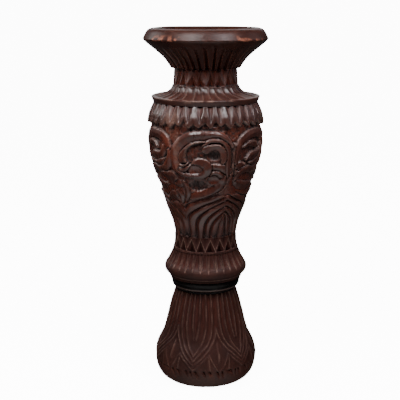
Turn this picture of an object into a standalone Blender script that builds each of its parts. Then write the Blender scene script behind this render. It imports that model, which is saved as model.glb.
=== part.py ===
"""Wooden candlestick for a pillar candle, as its turner would assemble it.

Five turned wooden pieces are stacked on two hidden dowels: a bell-shaped base,
a beaded ring, a vase, a neck with a flange and a wide candle dish. A spun brass
pan lies in the dish, held by three countersunk screws, and a felt pad lines the
foot. These are the pieces as they leave the lathe, before any carving.

Metres, +Z up. The origin is the centre of the foot, on the table.
"""

import math

import bmesh
import bpy

MM = 0.001

# Driving dimensions, in millimetres: heights above the table first.
HEIGHT = 305.0
FOOT_Z = 0.5
BASE_TOP_Z = 81.7
RING_BOTTOM_Z = 82.0
RING_TOP_Z = 92.5
VASE_BOTTOM_Z = 92.8
VASE_TOP_Z = 244.3
NECK_BOTTOM_Z = 244.6
NECK_TOP_Z = 272.0
DISH_BOTTOM_Z = 272.3

# Radii that give the outline its character.
FOOT_R = 36.4
BELL_R = 44.9
RING_R = 30.4
SKIRT_R = 35.5
WAIST_R = 26.8
SHOULDER_R = 48.9
FLANGE_R = 45.6
NECK_R = 27.0
LIP_R = 52.2
RIM_R = 45.6

# Joinery: a dowel in a mortise that is a little wider and longer than it.
GAP = 0.3
DOWEL_R = 10.0
DOWEL_CHAMFER = 1.5
LOWER_DOWEL_Z = (50.0, 124.0)
UPPER_DOWEL_Z = (212.0, 284.0)
MORTISE_R = DOWEL_R + GAP

# The brass pan in the dish, sized for a candle 76 mm across.
RECESS_R = 40.6
RECESS_Z = 291.0
PAN_R = 40.2
PAN_WALL = 1.0
PAN_RIM_Z = 299.0
PAN_CORNER_R = 3.0
SCREW_CIRCLE_R = 24.0
SCREW_COUNT = 3
SCREW_R = 1.5
SCREW_LENGTH = 12.0
SCREW_HEAD_R = 3.4
SCREW_HEAD_DEPTH = 2.0
SLOT_WIDTH = 0.8
SLOT_DEPTH = 0.8

FELT_R = 27.0
FELT_THICKNESS = 2.2

STEPS = 40
FINE_STEPS = 72
SCREW_SIDES = 14
MERGE = 0.00001


def clear_scene():
    """Start from an empty scene, without closing the file this runs from."""
    for thing in list(bpy.data.objects):
        bpy.data.objects.remove(thing, do_unlink=True)


def new_collection(name):
    collection = bpy.data.collections.new(name)
    bpy.context.scene.collection.children.link(collection)
    return collection


def finish(name, colour, roughness, metallic=0.0):
    """A Principled material with one colour, roughness and metallic value."""
    material = bpy.data.materials.new(name)
    material.use_nodes = True
    shader = material.node_tree.nodes["Principled BSDF"]
    shader.inputs["Base Color"].default_value = (*colour, 1.0)
    shader.inputs["Roughness"].default_value = roughness
    shader.inputs["Metallic"].default_value = metallic
    return material


def smooth_line(points, per_span=2):
    """A Catmull-Rom curve through (radius, height) points, per_span steps between two of them."""
    ends = [points[0], *points, points[-1]]
    line = []
    for before, start, end, after in zip(ends, ends[1:], ends[2:], ends[3:]):
        for step in range(per_span):
            t = step / per_span
            line.append(
                tuple(
                    0.5 * (2 * b + (c - a) * t + (2 * a - 5 * b + 4 * c - d) * t**2 + (3 * b - a - 3 * c + d) * t**3)
                    for a, b, c, d in zip(before, start, end, after)
                )
            )
    return [*line, points[-1]]


def arc(centre, radius, start, end, steps):
    """Points on a circle about (radius, height) centre, between two angles in degrees from outwards."""
    angles = [math.radians(start + (end - start) * i / steps) for i in range(steps + 1)]
    return [(centre[0] + radius * math.cos(a), centre[1] + radius * math.sin(a)) for a in angles]


def turned(name, outline, material=None, closed=False, steps=STEPS, centre=(0.0, 0.0), collection=None):
    """Sweep an outline of (radius, height) millimetres round an upright axis.

    The outline runs down the outer side. A solid piece starts and ends on the axis;
    a piece with a through hole is a closed loop that goes back up its bore.
    """
    mesh = bpy.data.meshes.new(name)
    shape = bmesh.new()
    verts = [shape.verts.new((r * MM, 0.0, z * MM)) for r, z in outline]
    for first, second in zip(verts, verts[1:]):
        shape.edges.new((first, second))
    if closed:
        shape.edges.new((verts[-1], verts[0]))
    shape.to_mesh(mesh)
    shape.free()
    piece = bpy.data.objects.new(name, mesh)
    piece.location = (centre[0] * MM, centre[1] * MM, 0.0)
    if material:
        piece.data.materials.append(material)
    (collection or parts).objects.link(piece)
    screw = piece.modifiers.new("Turn", "SCREW")
    screw.axis = "Z"
    screw.steps = steps
    screw.render_steps = steps
    screw.use_merge_vertices = True
    screw.merge_threshold = MERGE
    screw.use_smooth_shade = True
    return piece


def bell_base(material):
    """Bell on a rounded foot, with a mortise above and a shallow bed for the felt below."""
    mortise_floor = LOWER_DOWEL_Z[0] - GAP
    bell = smooth_line(
        [(26.3, BASE_TOP_Z), (28.3, 76), (30.8, 68), (32.8, 60), (34.7, 52), (37.3, 42), (40.2, 36), (43.0, 30)]
    )
    toe = smooth_line([(43.0, 30), (BELL_R, 22), (44.7, 15), (43.4, 9.6), (40.8, 4.4), (FOOT_R, FOOT_Z)])
    bed_z = FELT_THICKNESS + GAP
    outline = [
        (0, mortise_floor),
        (MORTISE_R, mortise_floor),
        (MORTISE_R, BASE_TOP_Z),
        *bell[:-1],
        *toe,
        (FELT_R + GAP, FOOT_Z),
        (FELT_R + GAP, bed_z),
        (0, bed_z),
    ]
    return turned("bell_base", outline, material)


def felt_pad(material):
    outline = [(0, FELT_THICKNESS), (FELT_R, FELT_THICKNESS), (FELT_R, 0), (0, 0)]
    return turned("felt_pad", outline, material, steps=FINE_STEPS)


def joint_ring(material):
    """Cushion-shaped bead, fullest just under the skirt and drawn in towards the base."""
    middle_r, middle_z = 24.4, 90.6
    reach_out, reach_down = RING_R - middle_r, 8.4
    first_turn, last_turn, steps = 10, -70, 9
    turns = [math.radians(first_turn + (last_turn - first_turn) * step / steps) for step in range(steps + 1)]
    bead = [(middle_r + reach_out * math.cos(a), middle_z + reach_down * math.sin(a)) for a in turns]
    shoulder_r, foot_r = 28.8, 26.4
    outline = [
        (MORTISE_R, RING_TOP_Z),
        (shoulder_r, RING_TOP_Z),
        *bead,
        (foot_r, RING_BOTTOM_Z),
        (MORTISE_R, RING_BOTTOM_Z),
    ]
    return turned("joint_ring", outline, material, closed=True)


def vase_body(material):
    """Vase with a collar for the carved teeth, a slim waist and a flared skirt, bored for a dowel at each end."""
    upper_floor = UPPER_DOWEL_Z[0] - GAP
    lower_floor = LOWER_DOWEL_Z[1] + GAP
    collar = smooth_line([(43.9, VASE_TOP_Z), (46.6, 238.5), (48.4, 233), (49.2, 227.0)])
    bowl = smooth_line([(46.9, 225.4), (SHOULDER_R, 216), (48.6, 208), (46.8, 196), (43.4, 184), (38.4, 168)])
    stem = smooth_line([(38.4, 168), (33.4, 155), (29.1, 143), (WAIST_R, 129), (27.6, 120), (30.2, 112.5), (34.3, 104.6)])
    skirt = smooth_line([(34.3, 104.6), (SKIRT_R, 101.3), (34.9, 98.6), (31.6, 94.9)])
    outline = [
        (0, upper_floor),
        (MORTISE_R, upper_floor),
        (MORTISE_R, VASE_TOP_Z),
        *collar,
        *bowl[:-1],
        *stem[:-1],
        *skirt,
        (31.5, VASE_BOTTOM_Z),
        (MORTISE_R, VASE_BOTTOM_Z),
        (MORTISE_R, lower_floor),
        (0, lower_floor),
    ]
    return turned("vase_body", outline, material)


def neck_flange(material):
    """Waisted neck band that flares to a thin flange, which caps the vase."""
    band = smooth_line([(NECK_R, NECK_TOP_Z), (26.7, 265), (27.2, 259)])
    flare = smooth_line([(27.8, 258.8), (28.6, 256.8), (30.4, 254), (33.8, 251.9), (39.5, 250.2), (FLANGE_R, 249.2)])
    outline = [
        (MORTISE_R, NECK_TOP_Z),
        *band,
        *flare,
        (FLANGE_R - 0.2, 248.4),
        (44.1, NECK_BOTTOM_Z),
        (MORTISE_R, NECK_BOTTOM_Z),
    ]
    return turned("neck_flange", outline, material, closed=True)


def candle_dish(material):
    """Wide lip on a trumpet flare, recessed on top for the pan and bored below for the dowel."""
    mortise_top = UPPER_DOWEL_Z[1] + GAP
    lip = smooth_line([(RIM_R, HEIGHT), (48.6, 304.3), (50.2, 302), (51.4, 299), (LIP_R, 296.2)])
    flare = smooth_line([(LIP_R, 296.2), (46.9, 290.8), (40.5, 285.6), (34.5, 280), (31.2, 275.5), (29.2, DISH_BOTTOM_Z)])
    outline = [
        (0, RECESS_Z),
        (RECESS_R, RECESS_Z),
        (RECESS_R, HEIGHT),
        *lip[:-1],
        *flare,
        (MORTISE_R, DISH_BOTTOM_Z),
        (MORTISE_R, mortise_top),
        (0, mortise_top),
    ]
    return turned("candle_dish", outline, material)


def screw_centres():
    """Where the pan screws stand, evenly round the pan's floor."""
    for number in range(SCREW_COUNT):
        angle = math.tau * number / SCREW_COUNT
        yield number + 1, (SCREW_CIRCLE_R * math.cos(angle), SCREW_CIRCLE_R * math.sin(angle))


def cut(piece, cutter):
    boolean = piece.modifiers.new("Cut", "BOOLEAN")
    boolean.operation = "DIFFERENCE"
    boolean.solver = "EXACT"
    boolean.object = cutter
    cutter.hide_render = True
    cutter.display_type = "WIRE"


def drip_pan(material):
    """Spun pan with a rounded corner between its floor and wall, and a rolled rim."""
    floor_low = RECESS_Z + GAP
    floor_high = floor_low + PAN_WALL
    corner = (PAN_R - PAN_CORNER_R, floor_low + PAN_CORNER_R)
    inside = arc(corner, PAN_CORNER_R - PAN_WALL, -90, 0, 4)
    outside = arc(corner, PAN_CORNER_R, 0, -90, 5)
    wall_middle = PAN_R - PAN_WALL / 2
    rolled_rim = arc((wall_middle, PAN_RIM_Z), PAN_WALL / 2, 180, 0, 6)
    outline = [(0, floor_high), *inside, *rolled_rim, *outside, (0, floor_low)]
    return turned("drip_pan", outline, material, steps=FINE_STEPS)


def screw_outline(top, clearance=0.0, overshoot=0.0):
    """A countersunk screw below a flat head, or with a clearance the hole that takes it."""
    neck = top - SCREW_HEAD_DEPTH
    tip = top - SCREW_LENGTH - clearance
    head_r = SCREW_HEAD_R + clearance
    shank_r = SCREW_R + clearance
    head = [(0, top + overshoot), (head_r, top + overshoot)]
    if overshoot:
        head.append((head_r, top))
    return [*head, (shank_r, neck), (shank_r, tip + SCREW_R), (0, tip)]


def pan_screws(dish, pan, material):
    """Slotted countersunk screws, flush with the pan's floor, and their holes in the pan and dish."""
    top = RECESS_Z + GAP + PAN_WALL
    for number, centre in screw_centres():
        screw = turned(f"pan_screw_{number}", screw_outline(top), material, steps=SCREW_SIDES, centre=centre)
        bpy.ops.mesh.primitive_cube_add(size=1, location=(centre[0] * MM, centre[1] * MM, top * MM))
        slot = bpy.context.object
        slot.name = f"screw_slot_{number}"
        slot.scale = (3 * SCREW_HEAD_R * MM, SLOT_WIDTH * MM, 2 * SLOT_DEPTH * MM)
        for owner in list(slot.users_collection):
            owner.objects.unlink(slot)
        cutters.objects.link(slot)
        cut(screw, slot)
        hole = turned(
            f"screw_hole_{number}",
            screw_outline(top, clearance=GAP, overshoot=1.0),
            steps=SCREW_SIDES,
            centre=centre,
            collection=cutters,
        )
        cut(dish, hole)
        cut(pan, hole)


def dowel(name, ends, material):
    """A chamfered dowel between two heights."""
    low, high = ends
    shoulder = DOWEL_R - DOWEL_CHAMFER
    outline = [
        (0, high),
        (shoulder, high),
        (DOWEL_R, high - DOWEL_CHAMFER),
        (DOWEL_R, low + DOWEL_CHAMFER),
        (shoulder, low),
        (0, low),
    ]
    return turned(name, outline, material)


def build():
    stained_wood = finish("stained_wood", (0.060, 0.022, 0.014), 0.38)
    black_lacquer = finish("black_lacquer", (0.012, 0.008, 0.008), 0.30)
    raw_wood = finish("raw_wood", (0.42, 0.26, 0.14), 0.75)
    brass = finish("brass", (0.55, 0.38, 0.16), 0.35, metallic=1.0)
    felt = finish("felt", (0.035, 0.045, 0.030), 0.95)

    bell_base(stained_wood)
    felt_pad(felt)
    joint_ring(black_lacquer)
    vase_body(stained_wood)
    neck_flange(stained_wood)
    dish = candle_dish(stained_wood)
    pan = drip_pan(brass)
    pan_screws(dish, pan, brass)
    dowel("lower_dowel", LOWER_DOWEL_Z, raw_wood)
    dowel("upper_dowel", UPPER_DOWEL_Z, raw_wood)


clear_scene()
parts = new_collection("wooden_candlestick")
cutters = new_collection("cutters")
build()
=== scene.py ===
# %% [markdown]
# # A carved wooden candlestick
#
# This notebook-style script finishes a turned wooden candlestick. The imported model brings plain
# turned blanks, and the cells below carve them: every flute, tooth, scroll and petal is real
# geometry, made by lowering a fine lathe grid with numpy.
#
# One idea does all the work. A turned surface can be unrolled into a flat sheet, with the angle
# round the axis across (in degrees) and the height up (in millimetres). Carving is then a picture
# of depths on that sheet, and the sheet is rolled up again at the end.

# %% Load the frame
import math

import bpy
import numpy as np
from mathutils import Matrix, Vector


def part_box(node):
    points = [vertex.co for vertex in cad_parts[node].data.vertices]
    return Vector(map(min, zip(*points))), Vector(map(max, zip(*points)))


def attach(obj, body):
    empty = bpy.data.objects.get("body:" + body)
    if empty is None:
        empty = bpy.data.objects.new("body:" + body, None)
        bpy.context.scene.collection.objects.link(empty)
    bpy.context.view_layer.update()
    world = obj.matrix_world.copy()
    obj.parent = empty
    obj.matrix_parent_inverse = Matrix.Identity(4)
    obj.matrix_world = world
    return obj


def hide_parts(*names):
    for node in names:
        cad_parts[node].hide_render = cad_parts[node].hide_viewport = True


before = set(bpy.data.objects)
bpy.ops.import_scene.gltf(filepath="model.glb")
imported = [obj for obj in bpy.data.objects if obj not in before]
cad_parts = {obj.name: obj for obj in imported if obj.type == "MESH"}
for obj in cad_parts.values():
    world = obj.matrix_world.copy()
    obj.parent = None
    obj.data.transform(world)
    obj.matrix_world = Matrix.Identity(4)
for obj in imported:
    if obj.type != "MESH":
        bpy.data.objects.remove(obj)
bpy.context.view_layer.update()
print("nodes:", sorted(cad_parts))

# %% [markdown]
# ## Heights from the frame
#
# Each wooden piece keeps the place that its blank has. The ends of the pieces could be typed in,
# but they are read from the blanks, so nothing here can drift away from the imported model. The
# outlines between the ends are heights in millimetres above the table.

# %% Read the heights
MM = 0.001


def span(node):
    """Lowest and highest point of a node, in millimetres."""
    low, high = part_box(node)
    return low[2] / MM, high[2] / MM


base_low, base_high = span("bell_base")
ring_low, ring_high = span("joint_ring")
vase_low, vase_high = span("vase_body")
neck_low, neck_high = span("neck_flange")
dish_low, dish_high = span("candle_dish")
felt_high = span("felt_pad")[1]
print(f"base {base_low:.1f} to {base_high:.1f}, vase {vase_low:.1f} to {vase_high:.1f} mm")
print(f"neck {neck_low:.1f} to {neck_high:.1f}, dish {dish_low:.1f} to {dish_high:.1f} mm")

# %% [markdown]
# ## Curves and lathe sheets
#
# An outline is a few (radius, height) points with a smooth curve through them. A curve object and
# a Screw modifier would turn the same outline, but the carving has to know where every point lies
# round the axis, so the grid is kept as numpy arrays instead.

# %% Curve and noise helpers
STEPS_PER_SPAN = 24


def smooth(points, spacing):
    """A Catmull-Rom curve through points of any dimension, resampled at an even spacing.

    From point b to point c, with a before and d after, the curve at t between 0 and 1 is half of
    2b + (c - a) t + (2a - 5b + 4c - d) t^2 + (3b - a - 3c + d) t^3.
    """
    points = np.asarray(points, float)
    padded = np.vstack([2 * points[0] - points[1], points, 2 * points[-1] - points[-2]])
    t = np.linspace(0.0, 1.0, STEPS_PER_SPAN, endpoint=False)[:, None]
    spans = []
    for a, b, c, d in zip(padded, padded[1:], padded[2:], padded[3:]):
        square, cube = 2 * a - 5 * b + 4 * c - d, 3 * b - a - 3 * c + d
        spans.append(0.5 * (2 * b + (c - a) * t + square * t**2 + cube * t**3))
    dense = np.vstack([*spans, points[-1:]])
    steps = np.linalg.norm(np.diff(dense[:, :2], axis=0), axis=1)
    along = np.concatenate([[0.0], np.cumsum(steps)])
    count = max(2, int(round(along[-1] / spacing)) + 1)
    even = np.linspace(0.0, along[-1], count)
    return np.stack([np.interp(even, along, dense[:, k]) for k in range(dense.shape[1])], axis=1)


def ripple(angle, seed, waves=9, slowest=1):
    """A smooth random wave round the axis, with swings of about 1.

    It is a sum of sines with whole numbers of turns, so that it meets itself at the back.
    """
    random = np.random.default_rng(seed)
    total = np.zeros_like(angle)
    for number in range(slowest, slowest + waves):
        total += random.normal() * np.sin(np.radians(angle) * number + random.uniform(0, math.tau))
    return total / math.sqrt(waves)


def grain(shape, cell, seed):
    """Smooth random bumps on the sheet, between 0 and 1, each about cell grid steps across.

    A coarse table of random values is read between its entries, with a smooth step both ways.
    """
    random = np.random.default_rng(seed)
    rows, columns = (max(3, int(n / cell)) for n in shape)
    coarse = random.random((rows, columns))
    coarse = np.hstack([coarse, coarse[:, :1]])
    y = np.linspace(0, rows - 1.001, shape[0])
    x = np.linspace(0, columns - 0.001, shape[1])
    y0, x0 = y.astype(int), x.astype(int)
    v, u = (y - y0)[:, None], (x - x0)[None, :]
    v, u = v * v * (3 - 2 * v), u * u * (3 - 2 * u)
    top = coarse[y0][:, x0] * (1 - u) + coarse[y0][:, x0 + 1] * u
    bottom = coarse[y0 + 1][:, x0] * (1 - u) + coarse[y0 + 1][:, x0 + 1] * u
    return top * (1 - v) + bottom * v


def fade(value, low, high):
    """0 below low, 1 above high and t^2 (3 - 2t) between; it falls when low is above high."""
    t = np.clip((value - low) / (high - low), 0.0, 1.0)
    return t * t * (3 - 2 * t)


def wrap(angle, period=360.0):
    """The same angle, brought within half a period of zero."""
    return (angle + period / 2) % period - period / 2


def line_at(height, at, width):
    """A thin line round the piece: exp(-((height - at) / width)^2), so 1 on the line."""
    return np.exp(-(((height - at) / width) ** 2))


print("an even curve of", len(smooth([(0, 0), (3, 4), (6, 0)], 1.0)), "points")

# %% [markdown]
# `Sheet` is the unrolled outside of one piece. The cells below add to its depth in millimetres,
# and `roll_up` turns the sheet into one closed mesh: the carved side, and a plain closing outline
# behind it. Cutting tools and a Boolean modifier could carve a blank too, but hundreds of cuts are
# slow that way and leave ragged triangles, while a depth keeps the grid even.
#
# Three numbers are kept on every vertex for the wood's material. Stain says how much mahogany
# shows through the glaze. The second number is mostly painted shade, how dark a crease or hollow
# is drawn, with some darkening of the wood's tone. The third is how far an edge has been rubbed,
# and it also carries painted highlights and glints.

# %% Mesh helpers


def closed_mesh(name, places):
    """A mesh of squares on a grid of places that closes on itself across and up."""
    rows, columns = places.shape[:2]
    index = np.arange(rows * columns).reshape(rows, columns)
    below, right = np.roll(index, -1, 0), np.roll(index, -1, 1)
    faces = np.stack([index, below, np.roll(below, -1, 1), right], axis=-1).reshape(-1, 4)
    mesh = bpy.data.meshes.new(name)
    mesh.vertices.add(index.size)
    mesh.vertices.foreach_set("co", places.reshape(-1))
    mesh.loops.add(faces.size)
    mesh.loops.foreach_set("vertex_index", faces.reshape(-1))
    mesh.polygons.add(len(faces))
    mesh.polygons.foreach_set("loop_start", np.arange(0, faces.size, 4))
    mesh.update(calc_edges=True)
    mesh.validate()
    mesh.shade_smooth()
    return mesh


def sharpen(mesh, columns, rows):
    """Marks the edges that run along the given grid rows sharp, so that the shading breaks there."""
    ends = np.empty(len(mesh.edges) * 2, np.int32)
    mesh.edges.foreach_get("vertices", ends)
    row_of = ends.reshape(-1, 2) // columns
    along_row = row_of[:, 0] == row_of[:, 1]
    mesh.edges.foreach_set("use_edge_sharp", along_row & np.isin(row_of[:, 0], rows))


def blurred(field, times):
    """Field after some passes of 1/4 of itself and 3/16 of each of its four neighbours."""
    for _ in range(times):
        around = np.roll(field, 1, 1) + np.roll(field, -1, 1)
        upright = np.vstack([field[:1], field[:-1]]) + np.vstack([field[1:], field[-1:]])
        field = 0.25 * field + 0.1875 * (around + upright)
    return field


# %% The lathe sheet
NEIGHBOURHOOD = 8


class Sheet:
    """The unrolled outside of a turned piece, from top to bottom.

    angle, height and radius are arrays of rows by columns, in degrees and millimetres. Angle 0
    faces the front and grows towards the right. outward is each row's direction away from the
    wood, square to the outline, and depth is how far each point is cut in against it.
    """

    def __init__(self, outline, columns):
        outline = np.asarray(outline)
        self.columns = columns
        step = np.gradient(outline, axis=0)
        step /= np.linalg.norm(step, axis=1)[:, None]
        self.outward = np.stack([-step[:, 1], step[:, 0]], axis=1)
        turns = np.arange(columns) * 360.0 / columns - 180.0
        self.angle, self.height = np.meshgrid(turns, outline[:, 1])
        self.radius = np.repeat(outline[:, :1], columns, axis=1)
        self.depth = np.zeros_like(self.angle)
        self.stain = np.zeros_like(self.angle)
        self.wear_and_highlight = np.zeros_like(self.angle)
        self.dirt_and_shade = np.zeros_like(self.angle)

    def tones(self):
        """Stain, painted shade and wear with painted highlights at each point, each 0 to 1.

        To what the carving cells ask for, this adds stain where the cut is deep, painted shade where
        a point lies deeper than the blurred depth round it, and wear where it stands higher.
        """
        proud = blurred(self.depth, NEIGHBOURHOOD) - self.depth
        stain = np.clip(self.stain + fade(self.depth, 0.6, 2.6), 0, 1)
        dirt_and_shade = np.clip(self.dirt_and_shade + fade(proud, -0.16, -0.75), 0, 1)
        wear_and_highlight = np.clip(self.wear_and_highlight + 0.35 * fade(proud, 0.35, 0.9), 0, 1) * (1 - 0.8 * dirt_and_shade)
        return {"stain": stain, "dirt_and_shade": dirt_and_shade, "wear_and_highlight": wear_and_highlight}

    def roll_up(self, name, behind):
        """Makes the mesh object: x = r sin(angle), y = -r cos(angle), z = height.

        Each point is first cut in along its outward direction. behind is the closing outline,
        from the sheet's last row back to its first.
        """
        behind = np.asarray(behind, float)
        r = self.radius - self.depth * self.outward[:, :1]
        z = self.height - self.depth * self.outward[:, 1:]
        back_r = np.repeat(behind[:, :1], self.columns, axis=1)
        back_z = np.repeat(behind[:, 1:], self.columns, axis=1)
        turns = np.radians(self.angle[:1])
        r, z = np.vstack([r, back_r]), np.vstack([z, back_z])
        places = np.stack([r * np.sin(turns), -r * np.cos(turns), z], axis=-1) * MM
        mesh = closed_mesh(name, places)
        sharpen(mesh, self.columns, (0, len(self.depth) - 1))
        for label, field in self.tones().items():
            values = np.vstack([field, np.zeros_like(back_r)])
            layer = mesh.attributes.new(label, "FLOAT", "POINT")
            layer.data.foreach_set("value", values.reshape(-1))
        piece = bpy.data.objects.new(name, mesh)
        bpy.context.scene.collection.objects.link(piece)
        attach(piece, "root")
        print(f"{name}: {2 * r.size} triangles, cut up to {self.depth.max():.2f} mm")
        return piece


# %% [markdown]
# ## Knife strokes
#
# A stroke is a smooth curve on the sheet. `reach` finds how far every grid point lies from it, in
# real millimetres on the wood. From that distance come the cuts that a carver makes: a V groove,
# and a ribbon left standing while the ground round it is cut away. A scooped hollow needs only
# the distance from its centre. Curve objects laid on the surface would show a seam at their
# edges, while a depth runs into the ground without one.

# %% Distance to a stroke
STROKE_STEP = 1.0


def reach(sheet, points, period, limit):
    """How each grid point near a curve lies to it: (flat indices, distance, side, place along).

    points are (angle, height) on the sheet. Distance is in millimetres, to the nearest piece of
    the curve as to a line segment, with degrees turned into millimetres by the grid point's own
    radius. Side is 1 to the left of the way the curve runs and -1 to its right. The place along
    runs from 0 at the curve's start to 1 at its end.
    """
    points = np.asarray(points, float)
    numbered = np.column_stack([points, np.linspace(0, 1, len(points))])
    curve = smooth(numbered, STROKE_STEP)
    middle = (curve[:, 0].min() + curve[:, 0].max()) / 2
    half = (curve[:, 0].max() - curve[:, 0].min()) / 2
    angle = middle + wrap(sheet.angle - middle, period)
    scale = np.radians(1.0) * sheet.radius
    near = np.abs(angle - middle) * scale < half * scale + limit
    near &= (sheet.height > curve[:, 1].min() - limit) & (sheet.height < curve[:, 1].max() + limit)
    found = np.flatnonzero(near)
    x, y, k = angle.ravel()[found], sheet.height.ravel()[found], scale.ravel()[found]
    best = np.full(len(found), 1e9)
    side = np.zeros(len(found))
    along = np.zeros(len(found))
    for (xa, ya, ta), (xb, yb, tb) in zip(curve, curve[1:]):
        ex, ey = (xb - xa) * k, yb - ya
        px, py = (x - xa) * k, y - ya
        t = np.clip((px * ex + py * ey) / np.maximum(ex * ex + ey * ey, 1e-9), 0.0, 1.0)
        gap = np.hypot(px - t * ex, py - t * ey)
        closer = gap < best
        best[closer] = gap[closer]
        side[closer] = np.sign(ex * py - ey * px)[closer]
        along[closer] = (ta + t * (tb - ta))[closer]
    keep = best < limit
    return found[keep], best[keep], side[keep], along[keep]


def spread(values, along):
    """One number, or a list of numbers spread evenly along a stroke, read at each place along it."""
    values = np.atleast_1d(np.asarray(values, float))
    return np.interp(along, np.linspace(0, 1, len(values)), values)


# %% Cuts along a stroke
FACET = 1.6
FACET_RISE = 0.085


def groove(sheet, points, left, right, depth, period=360.0):
    """A V cut along a curve, whose walls are left and right millimetres wide.

    Its depth is depth (1 - distance / wall), or what is there already if that is deeper.
    """
    found, gap, side, along = reach(sheet, points, period, max(np.max(left), np.max(right)) + 0.1)
    wall = np.clip(1 - gap / np.where(side > 0, spread(left, along), spread(right, along)), 0, 1)
    sheet.depth.ravel()[found] = np.maximum(sheet.depth.ravel()[found], depth * wall)


def ribbon(
    sheet, points, widths, top=0.0, ridge=0.0, left=0.6, right=0.6, moat=0.9, trench=2.6, period=360.0
):
    """A raised band along a curve, with a narrow trench round it.

    Across the band, s runs from -1 at its right edge to 1 at its left. The surface is highest,
    top millimetres deep, along the ridge at s = ridge, and slopes down by left and right to the
    two edges. Past the edge the trench falls to its depth and comes back up within the moat.
    Knife marks tilt the surface to and fro along the band, once every FACET points of its curve,
    as flat cuts do.
    """
    found, gap, side, along = reach(sheet, points, period, np.max(widths) / 2 + moat + 0.2)
    half = np.maximum(spread(widths, along) / 2, 0.05)
    crest, left, right = spread(ridge, along), spread(left, along), spread(right, along)
    s = side * gap / half
    old = sheet.depth.ravel()[found]
    up = np.clip((s - crest) / (1.001 - crest), 0, 1)
    down = np.clip((crest - s) / (1.001 + crest), 0, 1)
    knife_marks = np.abs(wrap(along * (len(points) - 1), FACET)) / (FACET / 2)
    face = top + left * up + right * down + FACET_RISE * half * knife_marks
    out = (gap - half) / moat
    edge = top + np.where(side > 0, left, right)
    fall = edge + (np.maximum(trench, edge) - edge) * fade(out, 0.0, 0.4)
    rise = fall - trench * fade(out, 0.55, 1.0)
    sheet.depth.ravel()[found] = np.where(gap < half, face, np.maximum(old, rise))


def scoop_out(sheet, centre, reach_across, reach_up, rim, deepest, hollow_shade, period=360.0):
    """An oval hollow whose round bottom is darkened with painted shade.

    With f the distance from the centre, 1 at the edge, its depth is
    rim + (deepest - rim)(1 - f^2), and its painted shade is the given darkness times (1 - f^4).
    """
    across = wrap(sheet.angle - centre[0], period) / reach_across
    far = np.hypot(across, (sheet.height - centre[1]) / reach_up)
    sheet.depth = np.where(far < 1, rim + (deepest - rim) * (1 - far**2), sheet.depth)
    sheet.dirt_and_shade = np.where(far < 1, hollow_shade * (1 - far**4), sheet.dirt_and_shade)


# %% [markdown]
# ## The dish
#
# The lip is smooth, and under its sharp edge a plain band runs into 36 narrow flutes that lean a
# little to one side and deepen towards the neck. A copied cutter would make them all alike. Here
# the angle to the nearest flute's middle gives the depth, and slow random waves shift where each
# one lies and starts, as a hand-held gouge would.

# %% Outline of the dish
LIP_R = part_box("candle_dish")[1][0] / MM
RIM_IN_R = 40.6
BORE_R = 10.3
RECESS_FLOOR = 291.0
RIM_OUT = (45.0, dish_high - 0.05)
LIP_FOOT = (51.7, 297.6)
TRUMPET_TOP = (51.6, 295.2)

rim = smooth([(RIM_IN_R, dish_high - 0.6), (41.4, dish_high - 0.1), (42.6, dish_high), RIM_OUT], 0.6)
lip = smooth([RIM_OUT, (47.4, 304.1), (49.3, 302.2), (50.7, 299.8), LIP_FOOT], 0.6)
arris = smooth([LIP_FOOT, (LIP_R - 0.02, 296.4), TRUMPET_TOP], 0.35)
trumpet = smooth(
    [TRUMPET_TOP, (48.4, 292.2), (43.2, 288), (38.5, 284), (34.6, 280), (31.6, 276), (29.3, dish_low)],
    0.5,
)
dish = Sheet(np.vstack([rim[:-1], lip[:-1], arris[:-1], trumpet]), 576)
print(f"dish sheet: {len(dish.depth)} rows of {dish.columns} points, {2 * LIP_R:.1f} mm across the lip")

# %% Carve the dish
FLUTES = 36
FLUTE_LEAN = 0.17
FLUTE_TOP = 290.6
FLUTE_RUN = 19

leaning = dish.angle - FLUTE_LEAN * (291 - dish.height) + 0.9 * ripple(dish.angle, 3, 12, 5)
across = np.abs(wrap(leaning + 0.8, 360 / FLUTES))
start = FLUTE_TOP + 1.3 * ripple(dish.angle, 4, 14, 9)
length = np.clip((start - dish.height) / FLUTE_RUN, 0, 1)
flute_half = 1.1 + 2.2 * length
flute = np.clip(1 - across / flute_half, 0, 1) * (dish.height < start)
belly = 0.35 * (across / (180 / FLUTES)) ** 2 * fade(dish.height, 292, 288)
under = fade(dish.height, 296.6, 294.5)
dish.depth = (flute * (0.8 + 2.7 * length**0.6) + belly) * under
dish.depth += 0.15 * ripple(dish.angle, 5, 5, 2) * fade(dish.height, 300, 303)
dish.depth += 0.08 * grain(dish.angle.shape, 14, 6)
dish.depth += 0.05 * grain(dish.angle.shape, 4, 9) * (1 - under)
print(f"{FLUTES} flutes, up to {dish.depth.max():.1f} mm deep")

# %% [markdown]
# The lip is rubbed along its sharp lower edge, most of all at its shoulders, and here and there
# higher up. The flutes' own edges have caught some rubbing too, and painted shade darkens the
# flutes themselves. The lip above them is given a darker tone.

# %% Wear and painted shade on the dish
flecks = grain(dish.angle.shape, 5, 7) * grain(dish.angle.shape, 16, 8)
near_arris = fade(dish.height, 301.2, 297.5) * fade(dish.height, 295.2, 296.2)
shoulders = fade(np.abs(wrap(dish.angle, 90) - 3), 22, 34)
flute_edge = fade(np.abs(across - flute_half), 0.55, 0.1) * fade(length, 0.05, 0.3)
dish.wear_and_highlight = near_arris * fade(flecks * (0.4 + 0.9 * shoulders), 0.2, 0.32)
dish.wear_and_highlight += 0.7 * fade(dish.height, 299, 301) * fade(flecks, 0.6, 0.66)
dish.wear_and_highlight += 0.3 * under * flute_edge
dish.stain = 0.45 * under * fade(flute, 0.1, 0.7) - 0.3 * (1 - under)
# Painted shade darkens the flutes; the lip above them is given a darker tone.
dish.dirt_and_shade = 0.8 * under * fade(flute, 0.3, 0.8) + 0.45 * (1 - under)

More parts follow.
